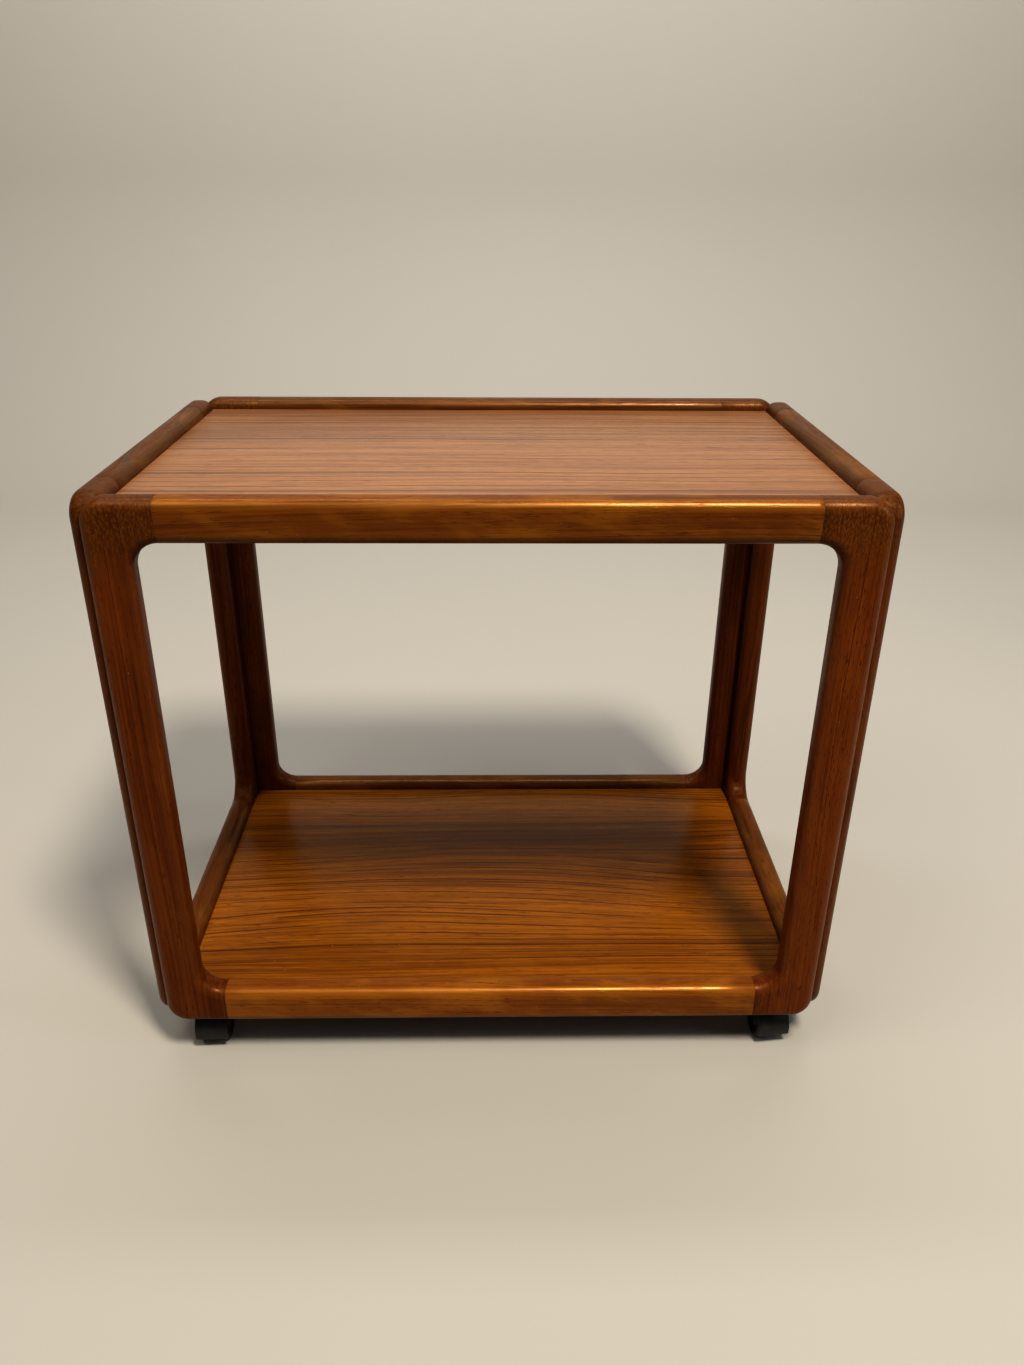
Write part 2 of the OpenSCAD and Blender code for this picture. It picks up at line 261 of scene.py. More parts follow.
floor_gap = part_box("front_frame_bottom_rail")[0].z
frame_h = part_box("front_frame_top_rail")[1].z - floor_gap
top_rail_h = frame_h + floor_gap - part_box("front_frame_top_rail")[0].z
bottom_rail_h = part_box("front_frame_bottom_rail")[1].z - floor_gap
frame_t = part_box("front_frame_top_rail")[1].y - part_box("front_frame_top_rail")[0].y
corner_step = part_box("left_frame_front_stile")[0].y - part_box("front_frame_left_stile")[0].y
panel_tops = [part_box(node)[1].z - floor_gap for node in ("tray_panel", "shelf_panel")]


class Hoop:
    """The sizes of one frame and where it stands."""

    def __init__(self, side, first, second, degrees):
        self.side = side
        self.ends = (first, second)
        self.spin = Matrix.Rotation(math.radians(degrees), 4, "Z")
        low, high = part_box(f"{side}_frame_{first}_stile")
        along = 0 if side in FRONT_BACK else 1
        self.joint = high[along] - low[along]
        self.length = 2 * max(abs(low[along]), abs(high[along]))
        self.stile_w = self.joint - INNER_R - JOINT_RUN
        outer_face = max(abs(low[1 - along]), abs(high[1 - along]))
        self.place = self.spin @ Matrix.Translation((-self.length / 2, -outer_face, floor_gap))


HOOPS = (
    Hoop("front", "left", "right", 0),
    Hoop("back", "right", "left", 180),
    Hoop("left", "back", "front", -90),
    Hoop("right", "front", "back", 90),
)


def quarter_round(backwards=False):
    """(inset from the outline, depth from the face) over a rounded edge, from the side to the face."""
    made = []
    for k in range(ROUND_STEPS + 1):
        angle = math.pi / 2 * k / ROUND_STEPS
        made.append((EDGE_R - EDGE_R * math.cos(angle), EDGE_R - EDGE_R * math.sin(angle)))
    made.append((EDGE_R + SUPPORT, 0))
    return made[::-1] if backwards else made


def hoop_ring(hoop):
    """The whole frame in one piece, before it is cut into stiles and rails."""
    section = [("outer", inset, depth) for inset, depth in quarter_round()]
    section += [("inner", inset, depth) for inset, depth in quarter_round(backwards=True)]
    section += [("inner", inset, frame_t - depth) for inset, depth in quarter_round()]
    section += [("outer", inset, frame_t - depth) for inset, depth in quarter_round(backwards=True)]
    rings = []
    for which, inset, y in section:
        if which == "outer":
            outline = rounded_outline(inset, inset, hoop.length - inset, frame_h - inset, OUTER_R - inset)
        else:
            left, low = hoop.stile_w - inset, bottom_rail_h - inset
            high = frame_h - top_rail_h + inset
            outline = rounded_outline(left, low, hoop.length - left, high, INNER_R + inset)
        rings.append([(p.x, y, p.y) for p in outline])
    return loft(rings)


def saw(bm, point, normal, eased=True):
    """Cuts off what lies on the normal's side and closes the cut, with its edges eased or left sharp."""
    everything = bm.verts[:] + bm.edges[:] + bm.faces[:]
    bmesh.ops.bisect_plane(bm, geom=everything, plane_co=point, plane_no=normal, clear_outer=True)
    open_edges = [edge for edge in bm.edges if edge.is_boundary]
    if not open_edges:
        return
    caps = bmesh.ops.holes_fill(bm, edges=open_edges, sides=0)["faces"]
    if eased:
        edges = list({edge for face in caps for edge in face.edges})
        bmesh.ops.bevel(bm, geom=edges, offset=EASE, segments=2, profile=0.5, affect="EDGES")


def stile_mesh(hoop, second):
    """The stile at the frame's first end, or its second."""
    bm = hoop_ring(hoop)
    side = -1 if second else 1
    end = hoop.length if second else 0
    saw(bm, (end + side * hoop.joint, 0, 0), (side, 0, 0))
    saw(bm, (end, corner_step - GLUE_LINE, 0), (-side, 1, 0), eased=False)
    return to_mesh(bm)


def rail_mesh(hoop, top):
    bm = hoop_ring(hoop)
    saw(bm, (hoop.joint, 0, 0), (-1, 0, 0))
    saw(bm, (hoop.length - hoop.joint, 0, 0), (1, 0, 0))
    half = frame_h / 2
    unwanted = [v for v in bm.verts if (v.co.z < half) == top]
    bmesh.ops.delete(bm, geom=unwanted, context="VERTS")
    return to_mesh(bm)


def groove_cutters(hoop):
    made = []
    for top in panel_tops:
        high = top - TONGUE_DROP
        low_corner = (-0.01, frame_t - GROOVE_DEPTH, high - TONGUE_T)
        made.append(bar(low_corner, (hoop.length + 0.01, frame_t + 0.01, high)))
    return made


def rail_bore_cutters(hoop, ends):
    low = (DOWEL_EDGE, bottom_rail_h - DOWEL_EDGE)
    high = (frame_h - top_rail_h + DOWEL_EDGE, frame_h - DOWEL_EDGE)
    joints = {0: hoop.joint, 1: hoop.length - hoop.joint}
    return [rod(*RAIL_BORE, (joints[end], DOWEL_IN, z), (1, 0, 0)) for end in ends for z in low + high]


def corner_bore_cutters(hoop, second):
    half_mitre = (frame_t - corner_step) / 2
    x = hoop.length - half_mitre if second else half_mitre
    axis = (1 if second else -1, 1, 0)
    rise = (frame_h - 2 * CORNER_DOWEL_LOW) / (CORNER_DOWELS - 1)
    return [
        rod(*CORNER_BORE, (x, corner_step + half_mitre, CORNER_DOWEL_LOW + k * rise), axis)
        for k in range(CORNER_DOWELS)
    ]


def mark_rounding(mesh):
    """Stores how far each point lies into the rounding of a long edge, for wear and polish."""
    rounding = mesh.attributes.new("rounding", "FLOAT", "POINT")
    for vertex, value in zip(mesh.vertices, rounding.data):
        depth = min(vertex.co.y, frame_t - vertex.co.y)
        lift = min(max((EDGE_R - depth) / EDGE_R, 0), 1)
        value.value = math.sin(2 * math.asin(lift))


def finish_member(hoop, mesh, cutters, node, material):
    mesh = combined(mesh, joined(cutters))
    mark_rounding(mesh)
    mesh.transform(hoop.place)
    piece = new_piece(node.replace("_frame_", "_"), mesh)
    mesh.materials.clear()
    mesh.materials.append(material)
    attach(piece, "table")
    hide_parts(node)
    return piece


# ---------- materials ----------

class Graph:
    """A short way to write a material's nodes."""

    def __init__(self, name):
        self.material = bpy.data.materials.new(name)
        self.material.use_nodes = True
        self.tree = self.material.node_tree
        self.tree.nodes.clear()

    def node(self, kind, inputs=None, **settings):
        made = self.tree.nodes.new("ShaderNode" + kind)
        for key, value in settings.items():
            setattr(made, key, value)
        for key, value in (inputs or {}).items():
            if isinstance(value, bpy.types.NodeSocket):
                self.tree.links.new(value, made.inputs[key])
            else:
                made.inputs[key].default_value = value
        return made

    def math(self, operation, a, b=0.0, c=0.0, clamp=False):
        made = self.node("Math", {0: a, 1: b, 2: c}, operation=operation, use_clamp=clamp)
        return made.outputs[0]

    def vector(self, operation, a, b=(0, 0, 0), c=(0, 0, 0)):
        return self.node("VectorMath", {0: a, 1: b, 2: c}, operation=operation).outputs[0]

    def dot(self, a, b):
        return self.node("VectorMath", {0: a, 1: b}, operation="DOT_PRODUCT").outputs["Value"]

    def mix(self, factor, a, b):
        return self.node("Mix", {0: factor, 6: a, 7: b}, data_type="RGBA").outputs[2]

    def noise(self, place, scale, detail=2.0, roughness=0.5):
        """Noise in 0 to 1, with its own scale along each axis, in features a metre."""
        scaled = self.vector("MULTIPLY", place, scale)
        inputs = {"Vector": scaled, "Scale": 1.0, "Detail": detail, "Roughness": roughness}
        return self.node("TexNoise", inputs).outputs["Fac"]

    def step(self, value, low, high):
        """0 below low, 1 above high, smooth between; low above high turns it round."""
        inputs = {"Value": value, "From Min": low, "From Max": high}
        made = self.node("MapRange", inputs, interpolation_type="SMOOTHSTEP", clamp=True)
        return made.outputs["Result"]

    def range(self, value, low, high):
        """Maps 0 to 1 onto low to high."""
        return self.node("MapRange", {"Value": value, "To Min": low, "To Max": high}).outputs["Result"]

    def finish(self, shader):
        output = self.node("OutputMaterial")
        self.tree.links.new(shader.outputs[0], output.inputs["Surface"])
        return self.material


WOODS = {
    "stile": dict(
        dark=(0.078, 0.0145, 0.0013), light=(0.180, 0.0400, 0.0040), line=(0.034, 0.0062, 0.0010),
        warm=(0.270, 0.0720, 0.0075), contrast=(0.37, 0.63), lines=0.40,
        line_gaps=(60.0, 210.0), line_widths=(0.0008, 0.0005),
        mottle=0.20, pores=0.75, pore_size=(110.0, 1000.0), bend=0.010,
        rough=0.32, spread=0.10, specular=0.10, lustre=0.14, tint=(1.0, 0.68, 0.40, 1.0), relief=0.00008,
    ),
    "rail": dict(
        dark=(0.105, 0.0240, 0.0014), light=(0.215, 0.0580, 0.0040), line=(0.050, 0.0110, 0.0010),
        warm=(0.340, 0.1180, 0.0075), contrast=(0.35, 0.65), lines=0.30,
        line_gaps=(50.0, 190.0), line_widths=(0.0009, 0.0005),
        mottle=0.50, pores=0.60, pore_size=(75.0, 1000.0), bend=0.016,
        rough=0.28, spread=0.20, specular=0.14, lustre=0.30, tint=(1.0, 0.88, 0.60, 1.0), relief=0.00006,
    ),
    "tray": dict(
        dark=(0.150, 0.0560, 0.0180), light=(0.275, 0.1180, 0.0420), line=(0.075, 0.0260, 0.0100),
        warm=(0.320, 0.1350, 0.0420), contrast=(0.42, 0.58), lines=0.75,
        line_gaps=(18.0, 75.0), line_widths=(0.0038, 0.0020),
        mottle=0.12, pores=0.60, pore_size=(45.0, 850.0), bend=0.010,
        rough=0.32, spread=0.0, specular=0.70, lustre=0.0, tint=(1.0, 1.0, 1.0, 1.0), relief=0.00003,
    ),
    "shelf": dict(
        dark=(0.120, 0.0320, 0.0016), light=(0.265, 0.0840, 0.0045), line=(0.040, 0.0090, 0.0010),
        warm=(0.340, 0.1200, 0.0070), contrast=(0.40, 0.60), lines=0.80,
        line_gaps=(13.0, 100.0), line_widths=(0.0019, 0.0012),
        mottle=0.10, pores=0.60, pore_size=(45.0, 850.0), bend=0.028,
        rough=0.26, spread=0.0, specular=0.20, lustre=0.0, tint=(1.0, 0.70, 0.38, 1.0), relief=0.00003,
    ),
    "beech": dict(
        dark=(0.43, 0.27, 0.14), light=(0.62, 0.43, 0.25), line=(0.36, 0.20, 0.10),
        warm=(0.66, 0.44, 0.26), contrast=(0.38, 0.62), lines=0.25,
        line_gaps=(60.0, 210.0), line_widths=(0.0008, 0.0005),
        mottle=0.2, pores=0.35, pore_size=(75.0, 1150.0), bend=0.010,
        rough=0.62, spread=0.0, specular=0.4, lustre=0.0, tint=(1.0, 1.0, 1.0, 1.0), relief=0.00008,
    ),
}


def opaque(colour):
    return (*colour, 1.0)


def board_place(g, grain, across, seed):
    """Places on a board: X runs along the grain and Y across the growth layers, from a random start."""
    axes = g.node("SeparateXYZ", {0: g.node("TexCoord").outputs["Object"]}).outputs
    order = [axes[grain], axes[across], axes[3 - grain - across]]
    along = g.node("CombineXYZ", dict(enumerate(order))).outputs[0]
    start = random.Random(seed)
    return g.vector("ADD", along, tuple(start.uniform(-5, 5) for _ in range(3)))


def swayed(g, place, bend):
    """The same places, with the growth layers wandering slowly along the board."""
    sway = g.math("SUBTRACT", g.noise(place, (1.3, 5.0, 2.0), detail=1.0), 0.5)
    shift = g.vector("SCALE", (0.0, 1.0, 0.7))
    g.tree.links.new(g.math("MULTIPLY", sway, bend * 4), shift.node.inputs["Scale"])
    return g.vector("ADD", place, shift)


def golden_patches(g, place):
    """Where the wood shimmers, in patches that slant a little across the grain."""
    lean = g.vector("MULTIPLY", g.dot(place, (0.0, 1.2, 0.0)), (1.0, 0.0, 0.0))
    slant = g.vector("ADD", place, lean)
    return g.step(g.noise(slant, (13.0, 26.0, 26.0), detail=3.0, roughness=0.6), 0.44, 0.68)


def growth_lines(g, place, look, colour):
    """Draws dark lines right along the board: a few heavy ones, and groups of light ones."""
    for gap, width, fade in zip(look["line_gaps"], look["line_widths"], (0.38, 0.45)):
        wander = g.math("MULTIPLY", g.noise(place, (4.0, 25.0, 25.0)), 0.0022)
        depth = g.math("ADD", g.dot(place, (0.0, 1.0, 0.35)), wander)
        rings = g.node(
            "TexVoronoi", {"W": depth, "Scale": gap}, voronoi_dimensions="1D", feature="DISTANCE_TO_EDGE",
        )
        line = g.step(rings.outputs["Distance"], gap * width, gap * width * 0.25)
        strength = g.step(g.noise(place, (1.0, gap * 0.8, gap * 0.8)), fade, fade + 0.12)
        lines = g.math("MULTIPLY", line, strength)
        colour = g.mix(g.math("MULTIPLY", lines, look["lines"]), colour, opaque(look["line"]))
    return colour


def pore_marks(g, place, look, band):
    """Open pores: dashes along the grain, dots where the end grain shows."""
    length, gap = look["pore_size"]
    field = g.noise(place, (length, gap, gap), detail=1.0, roughness=0.5)
    crowding = g.range(g.step(band, 0.35, 0.65), 0.66, 0.58)
    marks = g.step(g.math("SUBTRACT", field, crowding), 0.0, 0.08)
    return g.math("MULTIPLY", marks, look["pores"])


def browned_heads(g, place, broad, colour):
    """Browns the heads of the stiles, where hands take hold."""
    height = g.node("SeparateXYZ", {0: g.node("TexCoord").outputs["Object"]}).outputs["Z"]
    head = g.step(g.math("MULTIPLY_ADD", broad, 0.05, height), TABLE_TOP - 0.055, TABLE_TOP + 0.010)
    speckle = g.step(g.noise(place, (260.0, 620.0, 620.0), 2.0), 0.44, 0.62)
    brown = g.mix(speckle, (0.050, 0.0170, 0.0030, 1.0), (0.150, 0.0560, 0.0085, 1.0))
    return g.mix(g.math("MULTIPLY", head, 0.60), colour, brown)


def wood(name, kind, grain, across, seed, tone=1.0, wear=0.0):
    """A wood whose grain runs along one object axis, with growth layers stacked across another."""
    look = WOODS[kind]
    g = Graph(name)
    still_place = board_place(g, grain, across, seed)
    place = swayed(g, still_place, look["bend"])

    def layers(length, gap, detail=2.0, roughness=0.5):
        return g.noise(place, (length, gap, gap * 0.35), detail, roughness)

    broad = layers(0.8, 11.0)
    band = layers(1.0, 130.0, 3.0, 0.65)
    fine = layers(6.0, 450.0, 3.0, 0.70)
    figure = g.math("MULTIPLY", broad, 0.24)
    figure = g.math("MULTIPLY_ADD", band, 0.34, figure)
    figure = g.math("MULTIPLY_ADD", fine, 0.42, figure)
    colour = g.mix(g.step(figure, *look["contrast"]), opaque(look["dark"]), opaque(look["light"]))

    mottle = golden_patches(g, place)
    colour = g.mix(g.math("MULTIPLY", mottle, look["mottle"]), colour, opaque(look["warm"]))
    colour = growth_lines(g, place, look, colour)
    pores = pore_marks(g, place, look, band)
    colour = g.mix(pores, colour, opaque(look["line"]))

    # a few pale specks of dust
    specks = g.step(g.noise(still_place, (430.0,) * 3, 1.0), 0.80, 0.83)
    colour = g.mix(g.math("MULTIPLY", specks, 0.5), colour, (0.50, 0.44, 0.36, 1.0))
    if kind == "stile":
        colour = browned_heads(g, place, broad, colour)

    # hands polish and lighten the rounded edges that face up; faces that point down get painted shade,
    # their colour darkened
    facing = g.node("SeparateXYZ", {0: g.node("NewGeometry").outputs["Normal"]}).outputs["Z"]
    rounding = g.node("Attribute", attribute_name="rounding").outputs["Fac"]
    rounding = g.math("MULTIPLY", rounding, g.step(facing, -0.6, 0.1))
    rubbed = g.math("MULTIPLY", rounding, g.range(g.noise(place, (9.0, 60.0, 60.0)), 0.0, wear))
    colour = g.mix(rubbed, colour, opaque(look["warm"]))
    # painted shade: rails and stiles darkened towards 0.6 on faces that point down, standing in for the
    # shade under them
    if look["lustre"]:
        tone = g.math("MULTIPLY", g.range(g.step(facing, -0.9, -0.1), 0.60, 1.0), tone)
    colour = g.node("HueSaturation", {"Value": tone, "Color": colour}).outputs[0]

    # the gloss changes from layer to layer, and pores are dull
    rough = g.math("MULTIPLY_ADD", g.noise(place, (5.0, 55.0, 55.0)), 0.14, look["rough"] - 0.07)
    rough = g.math("MULTIPLY_ADD", g.step(fine, 0.38, 0.62), look["spread"], rough)
    rough = g.math("MULTIPLY_ADD", pores, 0.20, rough)
    rough = g.math("MULTIPLY_ADD", rubbed, -0.10, rough)

    height = g.math("MULTIPLY_ADD", pores, -0.8, g.math("MULTIPLY", fine, 0.35))
    height = g.math("MULTIPLY_ADD", mottle, 0.9, height)
    bump = g.node("Bump", {"Height": height, "Distance": look["relief"], "Strength": 0.9}).outputs[0]
    inputs = {
        "Base Color": colour, "Roughness": rough, "Normal": bump,
        "Specular IOR Level": look["specular"], "Specular Tint": look["tint"],
    }
    if look["lustre"]:
        inputs["Metallic"] = g.math("MULTIPLY", rounding, look["lustre"])
        inputs["Specular IOR Level"] = g.math("MULTIPLY_ADD", rounding, 0.14, look["specular"])
    return g.finish(g.node("BsdfPrincipled", inputs))


def plastic(name, base, dust, seed):
    """Moulded black plastic with a fine grain, dust and scuffs; a tread attribute marks worn rims."""
    g = Graph(name)
    place = g.vector("ADD", g.node("TexCoord").outputs["Object"], (seed, seed * 0.7, 0.0))
    mould = g.noise(place, (1800.0,) * 3, detail=2.0)
    cloud = g.noise(place, (60.0,) * 3, detail=4.0, roughness=0.6)
    scratch = g.noise(place, (900.0, 900.0, 90.0), detail=2.0)
    tread = g.node("Attribute", attribute_name="tread").outputs["Fac"]
    dusty = g.math("MULTIPLY", g.step(cloud, 0.45, 0.75), dust)
    scuffed = g.math("MULTIPLY", tread, g.range(g.step(scratch, 0.35, 0.70), 0.25, 0.75))
    colour = g.mix(dusty, base, (0.10, 0.09, 0.075, 1.0))
    colour = g.mix(g.math("MULTIPLY", scuffed, 0.45), colour, (0.055, 0.052, 0.048, 1.0))
    rough = g.math("MULTIPLY_ADD", cloud, 0.22, 0.34)
    rough = g.math("MULTIPLY_ADD", scuffed, 0.20, rough)
    height = g.math("MULTIPLY_ADD", g.math("MULTIPLY", scratch, tread), 1.5, mould)
    bump = g.node("Bump", {"Height": height, "Distance": 0.00003, "Strength": 0.6}).outputs[0]
    inputs = {"Base Color": colour, "Roughness": rough, "Normal": bump, "Specular IOR Level": 0.35}
    return g.finish(g.node("BsdfPrincipled", inputs))


def zinc(name):
    """Zinc-plated steel: cloudy passivation, fine drawing lines and dull spots."""
    g = Graph(name)
    place = g.node("TexCoord").outputs["Object"]
    cloud = g.noise(place, (220.0,) * 3, detail=4.0, roughness=0.6)
    drawn = g.noise(place, (60.0, 4200.0, 4200.0), detail=2.0)
    spots = g.step(g.noise(place, (700.0,) * 3, detail=2.0), 0.62, 0.72)
    colour = g.mix(cloud, (0.46, 0.45, 0.42, 1.0), (0.66, 0.66, 0.65, 1.0))
    colour = g.mix(g.math("MULTIPLY", spots, 0.5), colour, (0.30, 0.28, 0.24, 1.0))
    rough = g.math("MULTIPLY_ADD", cloud, 0.25, 0.24)
    rough = g.math("MULTIPLY_ADD", spots, 0.25, rough)
    bump = g.node("Bump", {"Height": drawn, "Distance": 0.00001, "Strength": 0.5}).outputs[0]
    inputs = {"Base Color": colour, "Metallic": 1.0, "Roughness": rough, "Normal": bump}
    return g.finish(g.node("BsdfPrincipled", inputs))


def nylon(name):
    """Natural nylon, a little greyed where it turns."""
    g = Graph(name)
    place = g.node("TexCoord").outputs["Object"]
    cloud = g.noise(place, (300.0,) * 3, detail=3.0)
    colour = g.mix(g.step(cloud, 0.35, 0.75), (0.70, 0.67, 0.58, 1.0), (0.52, 0.49, 0.42, 1.0))
    rough = g.range(cloud, 0.35, 0.55)
    bump = g.node("Bump", {"Height": cloud, "Distance": 0.00002, "Strength": 0.4}).outputs[0]
    shader = g.node("BsdfPrincipled", {"Base Color": colour, "Roughness": rough, "Normal": bump})
    return g.finish(shader)


def paper(name, colour):
    """The plain pale floor and backdrop."""
    g = Graph(name)
    place = g.node("TexCoord").outputs["Object"]
    cloud = g.noise(place, (1.5,) * 3, detail=2.0)
    tint = g.mix(cloud, colour, tuple(c * 0.96 for c in colour[:3]) + (1.0,))
    return g.finish(g.node("BsdfPrincipled", {"Base Color": tint, "Roughness": 0.75}))


# ---------- wooden pieces ----------

# Board tones, set one by one: the back and side rails darker than the front ones, and each bottom rail
# set lighter than its top rail as painted light
STILE_TONES = {"front_left": 0.68, "front_right": 0.76, "back_left": 0.64, "back_right": 0.64}
RAIL_TONES_WITH_PAINTED_LIGHT = {"front": (0.68, 0.95), "back": (0.42, 0.60), "left": (0.42, 0.58), "right": (0.46, 0.58)}

FRONT_WEAR, OTHER_WEAR = 0.90, 0.20      # how far hands have lightened the rounded edges


def build_frames():
    for number, hoop in enumerate(HOOPS):
        along = 0 if hoop.side in FRONT_BACK else 1
        for k, end in enumerate(hoop.ends):
            node = f"{hoop.side}_frame_{end}_stile"
            corner = f"{hoop.side}_{end}" if along == 0 else f"{end}_{hoop.side}"
            tone = STILE_TONES[corner] * (1.0 if along == 0 else 0.9)
            seed = 11 + number * 7 + k
            material = wood(f"teak_{hoop.side}_{end}_stile", "stile", 2, along, seed, tone, OTHER_WEAR)
            cutters = groove_cutters(hoop) + rail_bore_cutters(hoop, [k])
            cutters += corner_bore_cutters(hoop, k == 1)
            finish_member(hoop, stile_mesh(hoop, k == 1), cutters, node, material)
        for k, level in enumerate(("top", "bottom")):
            node = f"{hoop.side}_frame_{level}_rail"
            seed = 53 + number * 5 + k
            # the bottom rails' higher tones are painted light
            tone = RAIL_TONES_WITH_PAINTED_LIGHT[hoop.side][k]
            wear = FRONT_WEAR if hoop.side == "front" else OTHER_WEAR
            material = wood(f"teak_{hoop.side}_{level}_rail", "rail", along, 2, seed, tone, wear)
            cutters = groove_cutters(hoop) + rail_bore_cutters(hoop, [0, 1])
            finish_member(hoop, rail_mesh(hoop, level == "top"), cutters, node, material)


def build_panel(node, name, kind, seed):
    """A veneered panel with a tongue round its edge."""
    low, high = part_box(node)
    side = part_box("right_frame_top_rail")[1].x - frame_t - PANEL_GAP
    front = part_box("back_frame_top_rail")[1].y - frame_t - PANEL_GAP
    core = slab(rectangle(-side, -front, side, front), low.z, high.z, EASE)
    tongue_top = high.z - TONGUE_DROP
    tongue = slab(rectangle(low.x, low.y, high.x, high.y), tongue_top - TONGUE_T, tongue_top, EASE)
    piece = new_piece(name, combined(core, tongue, "UNION"))
    piece.data.materials.clear()
    piece.data.materials.append(wood("teak_" + name, kind, 0, 1, seed))
    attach(piece, "table")
    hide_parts(node)


BLOCK_CUT = 0.016        # across each block's free corner
SCREW_R = 0.002
SCREW_EDGE = 0.0055      # from a plate's edge to the middle of a screw
SCREW_BORE = (SCREW_R, 0.026)


def screw_places(plate_node):
    """Centres of a plate's four screws, from the plate's box."""
    low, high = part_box(plate_node)
    pitch = (high.x - low.x) / 2 - SCREW_EDGE
    centre = (low + high) / 2
    return [(centre.x + i * pitch, centre.y + j * pitch) for i in (-1, 1) for j in (-1, 1)]


def build_block(corner, material):
    low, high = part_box(f"{corner}_block")
    size = high.x - low.x
    left, front = "left" in corner, "front" in corner
    outline = [(BLOCK_CUT, 0), (size, 0), (size, size), (0, size), (0, BLOCK_CUT)]
    centre = (low + high) / 2
    flip = Matrix.Diagonal((-1 if left else 1, -1 if front else 1, 1, 1))
    to_middle = Matrix.Translation((-size / 2, -size / 2, 0))
    place = Matrix.Translation((centre.x, centre.y, 0)) @ flip @ to_middle
    mesh = moved(slab(outline, low.z, high.z, 0.0006), place)
    screws = screw_places(f"{corner}_castor_plate")
    bores = [rod(*SCREW_BORE, (x, y, low.z), (0, 0, 1)) for x, y in screws]
    piece = new_piece(f"{corner}_corner_block", combined(mesh, joined(bores)))
    piece.data.materials.append(material)
    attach(piece, "table")
    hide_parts(f"{corner}_block")


# ---------- castors ----------
# A castor is made with its swivel axis at the origin and its axle behind it, towards -Y.

JOINTS = {joint["name"]: joint for joint in frame["joints"]}
first_swivel = Vector(JOINTS["front_left_swivel"]["pos_m"])
first_axle = Vector(JOINTS["front_left_left_roll"]["pos_m"])
first_axis = Vector(JOINTS["front_left_left_roll"]["axis"])
wheel_r = first_axle.z
trail = (first_swivel.xy - first_axle.xy).length
plate_low, plate_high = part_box("front_left_castor_plate")
axle_place = Matrix.Translation((0, -trail, wheel_r)) @ Matrix.Rotation(math.pi / 2, 4, "Y")

WHEEL_IN, WHEEL_OUT = 0.0020, 0.0180     # a wheel's faces, from the castor's middle
RIM_IN_R = 0.0160
WEB_IN = 0.0145
HUB_R, HUB_IN = 0.0055, 0.0054
AXLE_R, AXLE_BORE_R = 0.0030, 0.00305
CAP_IN = 0.0169
DISH_R = (0.0066, 0.0149)
DISH_FLOOR = 0.0170
HOOD_R = (0.0215, 0.0237)
HOOD_SKIRT = 15                          # degrees that the hood reaches below the axle
HOOD_HALF_W = 0.0180
WEB_T = 0.003
BOSS_R, BOSS_W = 0.007, 0.010
BARREL_R, BARREL_TOP = 0.009, 0.0503
BORE_R, BORE_LOW = 0.006, 0.034
PIN_R, PIN_HEAD_R, PIN_HEAD = 0.004, 0.0055, (0.0400, 0.0415)
BUSH_BORE_R, BUSH_LOW = 0.00405, 0.0417
BUSH_FLANGE_R, BUSH_TOP = 0.0085, 0.0513
HEAD_R, HEAD_T, SCREW_TIP = 0.0038, 0.002, 0.0665
PLATE_CORNER_R, PLATE_HOLE_R = 0.005, 0.00225


def castor_place(corner):
    swivel = JOINTS[f"{corner}_swivel"]["pos_m"]
    axis = JOINTS[f"{corner}_left_roll"]["axis"]
    heading = math.atan2(axis[1], axis[0])
    return Matrix.Translation((swivel[0], swivel[1], 0)) @ Matrix.Rotation(heading, 4, "Z")


def wheel_mesh():
    """One wheel about Z: rim, web, hub, blind bore, and rings turned into its outer face."""
    profile = [
        (0, CAP_IN), (AXLE_BORE_R, CAP_IN), (AXLE_BORE_R, HUB_IN), (HUB_R, HUB_IN), (HUB_R, WEB_IN),
        (RIM_IN_R, WEB_IN), (RIM_IN_R, WHEEL_IN), (wheel_r, WHEEL_IN), (wheel_r, WHEEL_OUT),
        (0.0163, WHEEL_OUT), (0.0160, 0.0176), (0.0157, WHEEL_OUT), (DISH_R[1], WHEEL_OUT),
        (0.0145, DISH_FLOOR), (0.0070, DISH_FLOOR), (DISH_R[0], 0.01785), (0.0036, 0.01785),
        (0.0033, 0.0174), (0.0030, 0.01785), (0, WHEEL_OUT),
    ]
    radii = [
        0, 0.0004, 0.0002, 0.0002, 0.0006,
        0.0008, 0.0004, 0.0010, 0.0025,
        0.0001, 0.0001, 0.0001, 0.0003,
        0.0003, 0.0003, 0.0003, 0.0001,
        0.0001, 0.0001, 0,
    ]
    mesh = turned_filleted(profile, radii)
    tread = mesh.attributes.new("tread", "FLOAT", "POINT")
    for vertex, value in zip(mesh.vertices, tread.data):
        value.value = min(max((vertex.co.xy.length - 0.0185) / 0.0015, 0), 1)
    return mesh


def hood_mesh():
    """The hood over the wheels: a rounded strip swept round the axle, its ends eased."""
    middle, half_t = sum(HOOD_R) / 2, (HOOD_R[1] - HOOD_R[0]) / 2
    ease, steps = 0.0005, 56
    skirt = math.radians(HOOD_SKIRT)
    quarter = [math.radians(30 * k) for k in range(4)]
    ends = [(ease * (1 - math.cos(a)) / middle, ease * (1 - math.sin(a))) for a in quarter]
    places = [(-skirt + turn, inset) for turn, inset in ends]
    places += [(-skirt + (math.pi + 2 * skirt) * k / steps, 0) for k in range(1, steps)]
    places += [(math.pi + skirt - turn, inset) for turn, inset in reversed(ends)]
    rings = []
    for angle, inset in places:
        t, w = half_t - inset, HOOD_HALF_W - inset
        radii = [r - inset for r in (0.0006, 0.0009, 0.0009, 0.0006)]
        section = filleted(rectangle(-t, -w, t, w), radii, steps=4)
        out = Vector((0, math.cos(angle), math.sin(angle)))
        rings.append([out * (middle + p.x) + Vector((p.y, -trail, wheel_r)) for p in section])
    bm = loft(rings, along=False)
    bmesh.ops.holes_fill(bm, edges=[edge for edge in bm.edges if edge.is_boundary], sides=0)
    return to_mesh(bm)


